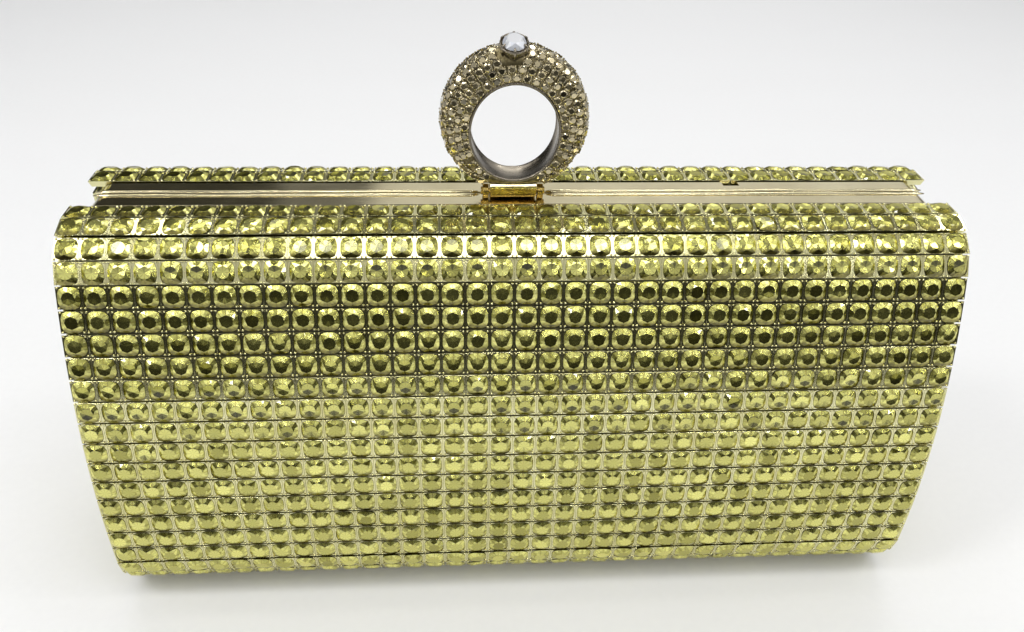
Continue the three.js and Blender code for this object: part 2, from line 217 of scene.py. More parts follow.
def flat_grid(name, material, across, up, half):
    """A flat sheet of across x up squares, reaching half to each side."""
    made = bmesh.new()
    bmesh.ops.create_grid(made, x_segments=across, y_segments=up, size=half)
    mesh = bpy.data.meshes.new(name)
    made.to_mesh(mesh)
    made.free()
    mesh.materials.append(material)
    sheet = bpy.data.objects.new(name, mesh)
    bpy.context.collection.objects.link(sheet)
    return sheet


def dark_card(name, material, place, half_size, pitch):
    """A dark studio card, seen only in reflections."""
    card = flat_grid(name, material, 12, 4, 1.0)
    card.scale = (*half_size, 1.0)
    card.rotation_euler = (math.radians(pitch), 0, 0)
    card.location = place
    card.visible_camera = False
    card.visible_shadow = False
    card.visible_diffuse = False


def make_studio():
    """A room that is bright above and behind, dark low in front, and pale to the eye."""
    world = bpy.data.worlds.new("studio")
    bpy.context.scene.world = world
    world.use_nodes = True
    tree = world.node_tree
    background = tree.nodes["Background"]
    spot = tree.nodes.new("ShaderNodeTexCoord")
    aim = tree.nodes.new("ShaderNodeVectorMath")
    aim.operation = "DOT_PRODUCT"
    aim.inputs[1].default_value = ROOM_BRIGHT_SIDE
    tree.links.new(spot.outputs["Generated"], aim.inputs[0])
    level = tree.nodes.new("ShaderNodeMapRange")
    level.interpolation_type = "SMOOTHSTEP"
    for socket, value in ROOM_LEVELS.items():
        level.inputs[socket].default_value = value
    tree.links.new(aim.outputs["Value"], level.inputs["Value"])
    path = tree.nodes.new("ShaderNodeLightPath")
    seen = tree.nodes.new("ShaderNodeMix")
    seen.inputs["B"].default_value = ROOM_SEEN
    tree.links.new(path.outputs["Is Camera Ray"], seen.inputs["Factor"])
    tree.links.new(level.outputs["Result"], seen.inputs["A"])
    tree.links.new(seen.outputs["Result"], background.inputs["Strength"])
    background.inputs["Color"].default_value = ROOM_COLOUR


# ---- shader helpers
class Shader:
    """A material with one Principled shader and short ways to add the nodes that feed it."""

    def __init__(self, name, **values):
        self.material = bpy.data.materials.new(name)
        self.material.use_nodes = True
        self.tree = self.material.node_tree
        self.surface = self.tree.nodes["Principled BSDF"]
        for socket, value in values.items():
            self.surface.inputs[socket.replace("_", " ")].default_value = value

    def node(self, kind, links=(), **settings):
        made = self.tree.nodes.new("ShaderNode" + kind)
        for key, value in settings.items():
            setattr(made, key, value)
        for socket, source in links:
            if isinstance(source, bpy.types.NodeSocket):
                self.tree.links.new(source, made.inputs[socket])
            else:
                made.inputs[socket].default_value = source
        return made

    def feed(self, socket, source):
        self.tree.links.new(source, self.surface.inputs[socket])

    def places(self, stretch=(1, 1, 1)):
        """Object coordinates in millimetres, stretched."""
        spot = self.node("TexCoord").outputs["Object"]
        scale = tuple(1000 / s for s in stretch)
        return self.node("Mapping", [("Vector", spot), ("Scale", scale)]).outputs["Vector"]

    def noise(self, vector, scale, detail=3.0, rough=0.55):
        made = self.node("TexNoise", [
            ("Vector", vector), ("Scale", scale), ("Detail", detail), ("Roughness", rough)])
        return made.outputs["Fac"]

    def spread(self, value, low, high, start=0.3, end=0.7):
        """Maps value from start..end to low..high, clamped."""
        made = self.node("MapRange", [
            ("Value", value), ("From Min", start), ("From Max", end),
            ("To Min", low), ("To Max", high)])
        return made.outputs["Result"]

    def tint(self, value, low, high):
        """A colour between low and high."""
        made = self.node("Mix", data_type="RGBA")
        self.tree.links.new(value, made.inputs["Factor"])
        made.inputs["A"].default_value = (*low, 1)
        made.inputs["B"].default_value = (*high, 1)
        return made.outputs["Result"]

    def multiply(self, colour, by, amount):
        """The colour darkened by another one where amount is 1."""
        made = self.node("Mix", data_type="RGBA", blend_type="MULTIPLY")
        self.tree.links.new(amount, made.inputs["Factor"])
        self.tree.links.new(colour, made.inputs["A"])
        made.inputs["B"].default_value = by
        return made.outputs["Result"]

    def math(self, operation, *sources):
        return self.node("Math", list(enumerate(sources)), operation=operation).outputs[0]

    def bump(self, height, strength, reach):
        made = self.node("Bump", [
            ("Height", height), ("Strength", strength), ("Distance", reach * MM)])
        return made.outputs["Normal"]


# ---- materials
def crystal_material():
    """Foil-backed citrine stones: a bright metallic back under a clear faceted crown, with painted
    shade over the lower part of each stone and a painted reflection on each facet.
    """
    shader = Shader("citrine_crystal", Metallic=1.0, Coat_Weight=0.85, Coat_Roughness=0.02,
                    Coat_IOR=1.6, Coat_Tint=(0.98, 0.96, 0.72, 1),
                    Specular_Tint=(0.85, 0.8, 0.35, 1))
    # each stone's own colour mixed with a painted reflection for each facet
    tone_and_reflection = shader.node("Attribute", attribute_name="tone_and_reflection").outputs["Fac"]
    spot = shader.node("UVMap", uv_map="cell").outputs["UV"]
    parts = shader.node("SeparateXYZ", [("Vector", spot)])
    across, along = parts.outputs["X"], parts.outputs["Y"]
    angle = shader.math("ARCTAN2", along, across)
    radius = shader.node("VectorMath", [(0, spot)], operation="LENGTH").outputs["Value"]
    wedge = shader.math("PINGPONG", shader.math("ADD", angle, 2 * math.pi), math.pi / FACETS)
    ridge = shader.math("MINIMUM", shader.math("MULTIPLY", radius, shader.math("COSINE", wedge)),
                        TABLE_RADIUS / STONE_HALF_V)
    off_ridge = shader.spread(wedge, 0.0, 1.0, start=0.02, end=0.12)
    colour = shader.multiply(shader.tint(tone_and_reflection, *CITRINE), CITRINE_RIDGE,
                             shader.math("SUBTRACT", 1.0, off_ridge))
    # painted shade: darkens the lower part of each stone
    in_painted_shade = shader.spread(along, 0.0, 1.0, start=0.38, end=0.74)
    shader.feed("Base Color", shader.multiply(colour, CITRINE_PAINTED_SHADE, in_painted_shade))
    smudge = shader.noise(shader.places(), scale=0.35)
    crown = shader.spread(radius, 0.0, 0.09, start=0.54, end=0.66)
    shader.feed("Roughness", shader.math("ADD", shader.spread(smudge, 0.12, 0.2), crown))
    shader.feed("Normal", shader.bump(ridge, strength=0.22, reach=0.9))
    return shader.material


def cup_material():
    """Pale plated cups: bright rims with fine handling marks."""
    shader = Shader("plated_cup", Metallic=1.0)
    places = shader.places()
    patch = shader.noise(places, scale=0.08, detail=4.0)
    grain = shader.noise(places, scale=3.0, detail=2.0)
    shader.feed("Base Color", shader.tint(shader.spread(patch, 0, 1), *CUP_METAL))
    shader.feed("Roughness", shader.spread(grain, 0.08, 0.2))
    shader.feed("Normal", shader.bump(grain, strength=0.15, reach=0.02))
    return shader.material


def polished_material(name, dark, light, rough, streak):
    """Polished plated metal with fine marks drawn out along X and cloudy fingerprints."""
    shader = Shader(name, Metallic=1.0)
    marks = shader.noise(shader.places((streak, 1, 1)), scale=1.6, detail=5.0, rough=0.65)
    cloud = shader.noise(shader.places(), scale=0.06, detail=3.0)
    shader.feed("Base Color", shader.tint(shader.spread(cloud, 0, 1), dark, light))
    both = shader.math("ADD", shader.math("MULTIPLY", marks, 0.5),
                       shader.math("MULTIPLY", cloud, 0.5))
    shader.feed("Roughness", shader.spread(both, *rough, start=0.35, end=0.65))
    shader.feed("Normal", shader.bump(marks, strength=0.03, reach=0.01))
    return shader.material


def pave_metal_material():
    """Dark antique gold between the small stones."""
    shader = Shader("antique_gold", Metallic=1.0)
    patina = shader.noise(shader.places(), scale=0.9, detail=5.0, rough=0.6)
    shader.feed("Base Color", shader.tint(shader.spread(patina, 0, 1), *ANTIQUE_GOLD))
    shader.feed("Roughness", shader.spread(patina, 0.45, 0.25))
    shader.feed("Normal", shader.bump(patina, strength=0.4, reach=0.08))
    return shader.material


def stone_material(name, colours, rough, scale, detail, **values):
    """Foil-backed stones with a colour for each stone, a painted reflection on each facet, and
    faint smudges.
    """
    shader = Shader(name, Coat_Weight=1.0, **values)
    tone_and_reflection = shader.node("Attribute", attribute_name="tone_and_reflection").outputs["Fac"]
    smudge = shader.noise(shader.places(), scale, detail)
    shader.feed("Base Color", shader.tint(tone_and_reflection, *colours))
    shader.feed("Roughness", shader.spread(smudge, *rough))
    return shader.material


def satin_material(name, dark, light):
    """Satin: fine twill with a soft sheen."""
    shader = Shader(name, Sheen_Weight=0.35, Sheen_Roughness=0.4, Specular_IOR_Level=0.6)
    weave = shader.node("TexWave", [
        ("Vector", shader.places()), ("Scale", 2.4), ("Distortion", 0.6), ("Detail", 1.0)],
        bands_direction="DIAGONAL").outputs["Fac"]
    cloud = shader.noise(shader.places(), scale=0.05, detail=3.0)
    mixed = shader.math("ADD", shader.math("MULTIPLY", weave, 0.25),
                        shader.math("MULTIPLY", cloud, 0.75))
    shader.feed("Base Color", shader.tint(shader.spread(mixed, 0, 1), dark, light))
    shader.feed("Roughness", shader.spread(cloud, 0.36, 0.5))
    shader.feed("Normal", shader.bump(weave, strength=0.25, reach=0.06))
    return shader.material


def floor_material():
    """Plain pale studio paper."""
    shader = Shader("pale_floor")
    fibre = shader.noise(shader.places(), scale=0.5, detail=6.0)
    shader.feed("Base Color", shader.tint(fibre, *PAPER))
    shader.feed("Roughness", shader.spread(fibre, 0.75, 0.9))
    return shader.material


# ---- mesh helpers
def add_object(name, verts, faces, material, body, slot, smooth=False, sharp=None):
    """Makes a piece from points in millimetres; edges above sharp degrees stay crisp."""
    mesh = bpy.data.meshes.new(name)
    mesh.from_pydata((np.asarray(verts, dtype=float) * MM).tolist(), [], faces)
    mesh.materials.append(material)
    mesh.polygons.foreach_set("use_smooth", [smooth] * len(mesh.polygons))
    mesh.update()
    if sharp:
        mesh.set_sharp_from_angle(angle=math.radians(sharp))
    piece = bpy.data.objects.new(name, mesh)
    bpy.context.collection.objects.link(piece)
    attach(piece, body)
    return piece


def set_tones_and_reflections(piece, tones, faces_each, painted_reflection_share=0.7):
    """A colour for each stone, and around it a painted reflection for each facet, standing in for
    the stone's inner reflections.
    """
    facet_reflections = RANDOM.uniform(0, 1, len(tones) * faces_each)
    attribute = piece.data.attributes.new("tone_and_reflection", "FLOAT", "FACE")
    attribute.data.foreach_set("value", (1 - painted_reflection_share) * np.repeat(tones, faces_each) + painted_reflection_share * facet_reflections)


def set_cell_uv(piece, template, count):
    """A UV map that runs from -1 to 1 across each stone."""
    verts, faces = template
    corners = np.array([verts[index][:2] for face in faces for index in face]) / STONE_HALF_V
    layer = piece.data.uv_layers.new(name="cell")
    layer.data.foreach_set("uv", np.tile(corners, (count, 1)).ravel())


def ring_faces(start, count, second=None):
    """Quads between one ring of points and the next, both counted anticlockwise from outside."""
    second = start + count if second is None else second
    return [(start + k, start + (k + 1) % count, second + (k + 1) % count, second + k)
            for k in range(count)]


def stack_faces(levels, count):
    """The faces of a closed stack of rings: a cap below, the sides and a cap on top."""
    faces = [tuple(range(count - 1, -1, -1))]
    for level in range(levels - 1):
        faces += ring_faces(level * count, count)
    faces.append(tuple(range((levels - 1) * count, levels * count)))
    return faces


def loop_faces(stations, count):
    """The faces of a tube that closes on itself."""
    return [face for k in range(stations)
            for face in ring_faces(k * count, count, (k + 1) % stations * count)]


def circle(radius, count, middle=(0.0, 0.0)):
    """Points around a circle, anticlockwise."""
    turns = [2 * math.pi * k / count for k in range(count)]
    return [(middle[0] + radius * math.cos(turn), middle[1] + radius * math.sin(turn))
            for turn in turns]


def studs(spots, rings, crown, count=6):
    """Small rounded studs: rings are (radius, height), and crown is the height of the top."""
    verts, faces = [], []
    for spot in spots:
        start = len(verts)
        for radius, height in rings:
            verts += [(*point, height) for point in circle(radius, count, spot)]
        verts.append((*spot, crown))
        faces.append(tuple(range(start + count - 1, start - 1, -1)))
        faces += ring_faces(start, count)
        faces += [(start + count + k, start + count + (k + 1) % count, start + 2 * count)
                  for k in range(count)]
    return verts, faces


def copies(template, frames):
    """Repeats a template (verts, faces) in every frame: arrays of origins and 3 axes."""
    verts, faces = np.array(template[0], dtype=float), template[1]
    origins, axes = frames
    placed = origins[:, None, :] + np.einsum("vk,nkj->nvj", verts, axes)
    all_faces = [tuple(index + number * len(verts) for index in face)
                 for number in range(len(origins)) for face in faces]
    return placed.reshape(-1, 3), all_faces


# ---- the section, as in the CAD
def direction(turn):
    return np.array([math.sin(turn), math.cos(turn)])


def arc_centres():
    shoulder = np.array([RAIL_HALF + TOP_FLAT, HEIGHT - SHOULDER_RADIUS])
    face = shoulder + (SHOULDER_RADIUS - FACE_RADIUS) * direction(SHOULDER_TURN)
    foot = face + (FACE_RADIUS - FOOT_RADIUS) * direction(FACE_TURN)
    return shoulder, face, foot


CENTRES = arc_centres()
ARCS = (
    (CENTRES[0], SHOULDER_RADIUS, 0.0, SHOULDER_TURN),
    (CENTRES[1], FACE_RADIUS, SHOULDER_TURN, FACE_TURN),
    (CENTRES[2], FOOT_RADIUS, FACE_TURN, math.pi),
)


def section(along, inset=0.0):
    """The point (out, z) and turn at a distance along the skin from the rail."""
    if along <= TOP_FLAT:
        return np.array([RAIL_HALF + along, HEIGHT - inset]), 0.0
    rest = along - TOP_FLAT
    for centre, radius, start, end in ARCS:
        length = radius * (end - start)
        if rest <= length:
            turn = start + rest / radius
            return centre + (radius - inset) * direction(turn), turn
        rest -= length
    return np.array([CENTRES[2][0] - rest, inset]), math.pi


LEAST_OVERLAP = 0.6  # of a row with an arc, to count as lying on it


def tightest_radius(row):
    """The smallest bend that a row of cells lies on."""
    ends = [TOP_FLAT]
    for _, radius, start, end in ARCS:
        ends.append(ends[-1] + radius * (end - start))
    low, high = row * PITCH, (row + 1) * PITCH
    radii = [radius for (_, radius, _, _), start, end in zip(ARCS, ends, ends[1:])
             if min(high, end) - max(low, start) > LEAST_OVERLAP]
    return min(radii, default=FACE_RADIUS)


# ---- one cell
ANGLES = [k * math.pi / FACETS for k in range(2 * FACETS)]


def cushion(angle, grow=0.0):
    """A point on a stone's girdle, or on that outline grown."""
    reach = 1 / (abs(math.cos(angle)) ** CUSHION_POWER
                 + abs(math.sin(angle)) ** CUSHION_POWER) ** (1 / CUSHION_POWER)
    return ((STONE_HALF_U + grow) * reach * math.cos(angle),
            (STONE_HALF_V + grow) * reach * math.sin(angle))


def square(angle, half_u, half_v):
    reach = 1 / max(abs(math.cos(angle)), abs(math.sin(angle)))
    return half_u * reach * math.cos(angle), half_v * reach * math.sin(angle)


def cup_template(half_v):
    """A square cup with a flat rim, a bevel outside it and a cushion-shaped seat."""
    half_u = (PITCH - CELL_GAP) / 2
    foot_v = min(CUP_FOOT, half_v - FOOT_CLEAR)
    rings = [
        [(*square(a, CUP_FOOT, foot_v), -CUP_BOTTOM) for a in ANGLES],
        [(*square(a, half_u, half_v), -RIM_DEPTH - RIM_BEVEL) for a in ANGLES],
        [(*square(a, half_u - RIM_BEVEL, half_v - RIM_BEVEL), -RIM_DEPTH) for a in ANGLES],
        [(*cushion(a, SEAT_CLEAR), -RIM_DEPTH) for a in ANGLES],
        [(*cushion(a), -RIM_DEPTH - SEAT_DROP) for a in ANGLES],
    ]
    verts = [point for ring in rings for point in ring]
    return verts, stack_faces(len(rings), len(ANGLES))


def prong_template():
    """A small rounded prong at each corner of a cell."""
    corners = [(u * PRONG_OUT, v * PRONG_OUT) for u, v in ((1, 1), (-1, 1), (-1, -1), (1, -1))]
    rings = ((PRONG_RADIUS, -RIM_DEPTH - PRONG_SINK),
             (PRONG_SHOULDER * PRONG_RADIUS, SHOULDER_RISE * PRONG_RISE - RIM_DEPTH))
    return studs(corners, rings, PRONG_RISE - RIM_DEPTH)


def brilliant_template(outline, table, break_radius, depths):
    """A brilliant crown over a cone: outline gives the girdle point at an angle."""
    table_depth, break_depth, girdle_depth, culet_depth = depths
    verts = [(table * math.cos(a), table * math.sin(a), -table_depth) for a in ANGLES[::2]]
    verts += [(break_radius * math.cos(a), break_radius * math.sin(a), -break_depth)
              for a in ANGLES[1::2]]
    verts += [(*outline(a), -girdle_depth) for a in ANGLES]
    verts.append((0, 0, -culet_depth))
    sides, girdle = 2 * FACETS, 2 * FACETS  # points around the girdle, and where they start
    faces = [tuple(range(FACETS))]
    for k in range(FACETS):
        after, before = (k + 1) % FACETS, (k - 1) % FACETS
        here = girdle + 2 * k
        faces.append((k, FACETS + k, after))
        faces.append((k, FACETS + before, here, FACETS + k))
        faces.append((FACETS + k, here, here + 1))
        faces.append((FACETS + k, here + 1, girdle + (2 * k + 2) % sides))
    faces += [(girdle + sides, girdle + (k + 1) % sides, girdle + k) for k in range(sides)]
    return verts, faces


def round_outline(radius):
    return lambda angle: (radius * math.cos(angle), radius * math.sin(angle))


# ---- the crystal cladding
def tilted(axes, amount):
    """Turns each frame a little at random, as loose cells sit on a backing."""
    tilts = RANDOM.normal(0, amount, (len(axes), 2))
    normals = axes[:, 2] + tilts[:, :1] * axes[:, 0] + tilts[:, 1:] * axes[:, 1]
    normals /= np.linalg.norm(normals, axis=1)[:, None]
    first = axes[:, 0] - np.sum(axes[:, 0] * normals, axis=1)[:, None] * normals
    first /= np.linalg.norm(first, axis=1)[:, None]
    return np.stack([first, np.cross(normals, first), normals], axis=1)


def row_frames(row, side):
    """Origins and axes of one row's cells; side is 1 for the back half and -1 for the front."""
    proud = TOP_ROWS_PROUD[row] if row < len(TOP_ROWS_PROUD) else 0.0
    (out, z), turn = section((row + 0.5) * PITCH, -proud)
    xs = -HALF_WIDTH + PITCH * (np.arange(COLUMNS) + 0.5)
    origins = np.array([(x, side * out, z) for x in xs])
    first = np.array([side, 0, 0])
    second = np.array([0, side * math.cos(turn), -math.sin(turn)])
    normal = np.array([0, side * math.sin(turn), math.cos(turn)])
    return origins, np.repeat(np.array([[first, second, normal]]), COLUMNS, axis=0)


def joined(parts):
    """Joins (verts, faces) lists into one."""
    verts, faces = [], []
    for more_verts, more_faces in parts:
        start = sum(len(v) for v in verts)
        verts.append(np.asarray(more_verts, dtype=float))
        faces += [tuple(index + start for index in face) for face in more_faces]
    return np.concatenate(verts), faces


def add_cells(title, half, cups, origins, axes, stone_axes, deep=0):
    """The cups of some cells, with their prongs, and stones with a colour each and a painted
    reflection on each facet.

    The first few stones, as many as deep, are painted darker, standing in for the shade they show
    at a grazing view.
    """
    body, count = half + "_half", len(origins)
    piece = add_object(title + "_cups", *cups, CUPS, body, "crystal_cladding")
    add_object(title + "_prongs", *copies(prong_template(), (origins, axes)), CUPS, body,
               "crystal_cladding", smooth=True)
    template = brilliant_template(cushion, TABLE_RADIUS, BREAK_RADIUS,
                                  (TABLE_DEPTH, BREAK_DEPTH, GIRDLE_DEPTH, CULET_DEPTH))
    stones = add_object(title + "_stones", *copies(template, (origins, stone_axes)), CRYSTAL,
                        body, "crystal_cladding")
    tones = RANDOM.uniform(0, 1, count)
    # painted shade: the first stones darkened
    tones[:deep] = PAINTED_SHADE_TONE * tones[:deep] - PAINTED_SHADE_DROP
    set_tones_and_reflections(stones, tones, len(template[1]))
    set_cell_uv(stones, template, count)
    return piece


def make_wrap(half, side):
    rows = [row_frames(row, side) for row in range(ROWS)]
    cups = []
    for row, frames in enumerate(rows):
        radius = tightest_radius(row)
        reach = (radius - RIM_DEPTH) * math.tan(PITCH / radius / 2)
        reach = min(reach, (PITCH - ROW_GROOVE) / 2 + CELL_GAP)
        cups.append(copies(cup_template(reach - CELL_GAP), frames))
    origins, axes = (np.concatenate(part) for part in zip(*rows))
    # the back half's first rows get painted shade
    deep = PAINTED_SHADE_ROWS * COLUMNS if half == "back" else 0
    piece = add_cells(half + "_cell", half, joined(cups), origins, axes,
                      tilted(axes, WRAP_LOOSE), deep)
    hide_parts(half + "_crystal_mesh")


# ---- the clad ends
def end_outline(inset, steps=60):
    """The D outline of an end, (out, z), from the mouth at the top round to the mouth below."""
    total = TOP_FLAT + sum(radius * (end - start) for _, radius, start, end in ARCS)
    points = [section(TOP_FLAT + (total - TOP_FLAT) * k / steps, inset)[0]
              for k in range(steps + 1)]
    first = np.array([MOUTH, HEIGHT - inset])
    last = np.array([MOUTH, inset])
    return np.array([first, *points, last])


END_ROWS = 16
END_MARGIN = 1.2  # kept free at the top and bottom, where it curves
END_SIDE = 0.9  # kept free beside the mouth
CELLS_IN, BORDER_IN, PLATE_IN = 1.5, 0.7, 0.4  # how far inside the cladding each one ends
BORDER_MOUTH = 0.75  # from the mouth to the border's middle
END_STRETCH = 1.16  # the widest an end's cell may be drawn
BORDER_RADIUS, BORDER_DEPTH = 0.62, 0.7
PLATE_TOP, PLATE_BOTTOM = 1.0, 2.1


def end_cells():
    """(out, z, width) of the cells that fill an end row by row, each row fitted to its width."""
    outline = end_outline(CLADDING + CELLS_IN)[::-1]
    low, high = outline[0][1] + END_MARGIN, outline[-1][1] - END_MARGIN
    height = (high - low) / END_ROWS
    cells = []
    for row in range(END_ROWS):
        z = low + height * (row + 0.5)
        reach = min(np.interp((z - height / 2, z + height / 2), outline[:, 1], outline[:, 0]))
        room = reach - MOUTH - END_SIDE
        count = max(1, round(room / PITCH))
        width = min(room / count, END_STRETCH * PITCH)
        cells += [(MOUTH + END_SIDE + width * (k + 0.5), z, width) for k in range(count)]
    return cells, height


def end_place(points, depth, side, end):
    """Maps (out, z) on an end to (x, y, z), depth inwards from the outside."""
    return [(end * (HALF_WIDTH - depth), side * out, z) for out, z in points]


def swept_border(side, end):
    """A rounded metal border that follows the end's outline."""
    path = end_outline(CLADDING + BORDER_IN)
    path[[0, -1]] += (BORDER_MOUTH, 0)
    count = 10
    verts = []
    for k, here in enumerate(path):
        step = path[(k + 1) % len(path)] - path[k - 1]
        normal = np.array([step[1], -step[0]]) / np.linalg.norm(step)
        for along, rise in circle(BORDER_RADIUS, count):
            verts += end_place([here + along * normal], BORDER_DEPTH - rise, side, end)
    return verts, loop_faces(len(path), count)


def backing_plate(side, end):
    """The sheet behind the end's cells."""
    outline = end_outline(CLADDING + PLATE_IN)
    verts = end_place(outline, PLATE_TOP, side, end) + end_place(outline, PLATE_BOTTOM, side, end)
    return verts, stack_faces(2, len(outline))


def outward(verts, faces):
    """The same solid with its faces turned outwards."""
    made = bmesh.new()
    points = [made.verts.new(v) for v in verts]
    for face in faces:
        made.faces.new([points[index] for index in face])
    bmesh.ops.recalc_face_normals(made, faces=made.faces)
    made.verts.index_update()
    turned = [tuple(v.index for v in face.verts) for face in made.faces]
    made.free()
    return verts, turned


def make_end(half, side, name, end):
    cells, height = end_cells()
    origins = np.array(end_place([cell[:2] for cell in cells], 0.0, side, end))
    axes = np.array([[(0, end, 0), (0, 0, 1), (end, 0, 0)]] * len(cells), dtype=float)
    size = np.array([(width / PITCH, height / PITCH, 1.0) for _, _, width in cells])[:, :, None]
    cups = copies(cup_template((PITCH - CELL_GAP) / 2), (origins, axes * size))
    plate = outward(*backing_plate(side, end))
    border = outward(*swept_border(side, end))
    title = f"{half}_{name}_end"
    trim = add_object(title + "_border", *joined([plate, border]), CUPS, half + "_half",
                      "crystal_cladding", smooth=True, sharp=CRISP_BORDER)
    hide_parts(title + "_mesh")
    add_cells(title, half, cups, origins, axes * size, tilted(axes, END_LOOSE) * size)


# ---- beads along the rails
BEAD_OUT, BEAD_RADIUS = 0.8, 0.52
BEAD_END, BEAD_CLEAR = 89.3, 7.3  # how far the beads reach, and their gap at the ring
BEAD_SINK, BEAD_FLAT = 0.05, 0.85
BEAD_TIP, BEAD_TAPER = 0.15, 1.2  # the area share of a tip, and the length of a taper
BEAD_SPANS = ((-BEAD_END, RING_X - BEAD_CLEAR), (RING_X + BEAD_CLEAR, BEAD_END))


def rail_bead(side, low, high):
    """A half-round bead on top of a rail beside the gap, drawn in at both ends."""
    ring, stations = 10, 50
    verts = []
    for share in np.linspace(0, 1, stations):
        to_end = min(share, 1 - share) * (high - low)
        radius = BEAD_RADIUS * math.sqrt(min(1.0, BEAD_TIP + to_end / BEAD_TAPER))
        for turn in np.linspace(0, math.pi, ring):
            verts.append((low + share * (high - low), side * (BEAD_OUT + radius * math.cos(turn)),
                          HEIGHT - BEAD_SINK + BEAD_FLAT * radius * math.sin(turn)))
    return outward(verts, stack_faces(stations, ring))


def make_rail_beads(half, side):
    beads = [rail_bead(side, low, high) for low, high in BEAD_SPANS]
    add_object(half + "_rail_bead", *joined(beads), CHAMPAGNE, half + "_half", "champagne_metal",
               smooth=True)


# ---- the finger ring
BAND_STEPS = 120
PROFILE = (  # (share of the way from hole to outside, depth)
    (0.0, -2.95), (0.035, -3.3), (0.14, -3.47), (0.45, -3.5), (0.72, -3.3), (0.9, -2.6),
    (0.985, -1.5), (1.0, 0.0), (0.985, 1.5), (0.9, 2.6), (0.72, 3.3), (0.45, 3.5),
    (0.14, 3.47), (0.035, 3.3), (0.0, 2.95))
LINER_PROFILE = (  # (distance outwards from the hole, depth)
    (-0.12, -2.91), (-0.37, -3.2495), (-0.02, -3.492), (0.3, -3.2495), (0.18, -2.91),
    (0.18, 2.91), (0.3, 3.2495), (-0.02, 3.492), (-0.37, 3.2495), (-0.12, 2.91))


def band_point(angle, share, depth):
    """A point on the ring: share 0 is the finger hole, 1 the outside."""
    inner = np.array([HOLE_HALF_WIDTH * math.cos(angle),
                      HOLE_RISE + HOLE_HALF_HEIGHT * math.sin(angle)])
    outer = np.array([BAND_RADIUS * math.cos(angle), BAND_RISE + BAND_RADIUS * math.sin(angle)])
    outer[1] = max(outer[1], SEAT_RISE)
    x, rise = inner + share * (outer - inner)
    return np.array([RING_X + x, depth, HEIGHT + rise])


def band_width(angle):
    return np.linalg.norm(band_point(angle, 1, 0) - band_point(angle, 0, 0))


def make_band():
    verts = [band_point(2 * math.pi * k / BAND_STEPS, share, depth)
             for k in range(BAND_STEPS) for share, depth in PROFILE]
    band = add_object("ring_band_body", *outward(verts, loop_faces(BAND_STEPS, len(PROFILE))),
                      PAVE_METAL, "ring_latch", "antique_gold", smooth=True)
    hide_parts("ring_band")


def make_liner():
    """The smooth inside of the ring, with a small rolled edge at the front and back."""
    verts = []
    for k in range(BAND_STEPS):
        angle = 2 * math.pi * k / BAND_STEPS
        width = band_width(angle)
        verts += [band_point(angle, off / width, depth) for off, depth in LINER_PROFILE]
    add_object("ring_liner", *outward(verts, loop_faces(BAND_STEPS, len(LINER_PROFILE))), LINER,
               "ring_latch", "antique_gold", smooth=True)


PAVE_RADIUS = 0.92
PAVE_SPACING = 2.12  # between stones, in radii
PAVE_ROWS = (  # (share, depth, narrowest band that has the row)
    (0.17, -3.48, 5.0), (0.43, -3.52, 5.0), (0.68, -3.4, 5.0), (0.9, -2.65, 5.0),
    (0.985, -1.0, 4.0), (0.985, 0.7, 4.0), (0.93, 2.3, 5.0),
    (0.68, 3.4, 5.0), (0.43, 3.52, 5.0), (0.17, 3.48, 5.0))
NARROW_ROWS = ((0.27, -3.48, 3.1), (0.72, -3.35, 3.1), (0.27, 3.48, 3.1), (0.72, 3.35, 3.1))
NARROW_WIDTH = 5.0
PAVE_DEPTHS = (-0.26, -0.17, 0.0, 0.5)  # of the table, break, girdle and culet
PAVE_TABLE, PAVE_BREAK = 0.58, 0.8  # shares of the radius
SEAT_MARGIN, FOOT_MARGIN = 0.25, 0.8  # kept free around the setting and above the foot
GRAIN_RINGS, GRAIN_TOP = ((0.24, -0.15), (0.2, 0.1)), 0.2
ARC_STEPS = 1441  # points that measure a row's length
BAND_MIDDLE = 0.45  # share at the middle of the band
SMALL_TURN = 0.01
SHARE_WEIGHT = 5  # of a share against a depth, in the search for the nearest profile point


def pave_frame(angle, share, depth):
    """A frame on the ring's surface, with its normal away from the band's middle."""
    here = band_point(angle, share, depth)
    along = (band_point(angle + SMALL_TURN, share, depth)
             - band_point(angle - SMALL_TURN, share, depth))
    along /= np.linalg.norm(along)
    index = min(range(len(PROFILE)), key=lambda k: abs(PROFILE[k][0] - share) * SHARE_WEIGHT
                + abs(PROFILE[k][1] - depth))
    low, high = PROFILE[max(index - 1, 0)], PROFILE[min(index + 1, len(PROFILE) - 1)]
    across = band_point(angle, *high) - band_point(angle, *low)
    normal = np.cross(along, across)
    normal /= np.linalg.norm(normal)
    middle = band_point(angle, BAND_MIDDLE, 0)
    if np.dot(normal, here - middle) < 0:
        normal = -normal
    return here, np.array([along, np.cross(normal, along), normal])


def pave_row(share, depth, narrowest, widest, shift):
    """Stones spaced evenly along one row of the ring."""
    angles = np.linspace(-math.pi / 2, 1.5 * math.pi, ARC_STEPS)
    points = np.array([band_point(a, share, depth) for a in angles])
    lengths = np.concatenate([[0], np.cumsum(np.linalg.norm(np.diff(points, axis=0), axis=1))])
    count = int(lengths[-1] / (PAVE_SPACING * PAVE_RADIUS))
    spots = (np.arange(count) + shift) * lengths[-1] / count
    frames = []
    seat = setting_point(0, 0, 0)
    for angle in np.interp(spots, lengths, angles):
        here, axes = pave_frame(angle, share, depth)
        width = band_width(angle)
        clear = (np.linalg.norm(here - seat) > SETTING_RADIUS + SEAT_MARGIN
                 and here[2] > HEIGHT + SEAT_RISE + FOOT_MARGIN)
        if clear and narrowest <= width < widest:
            frames.append((here, axes))
    return frames


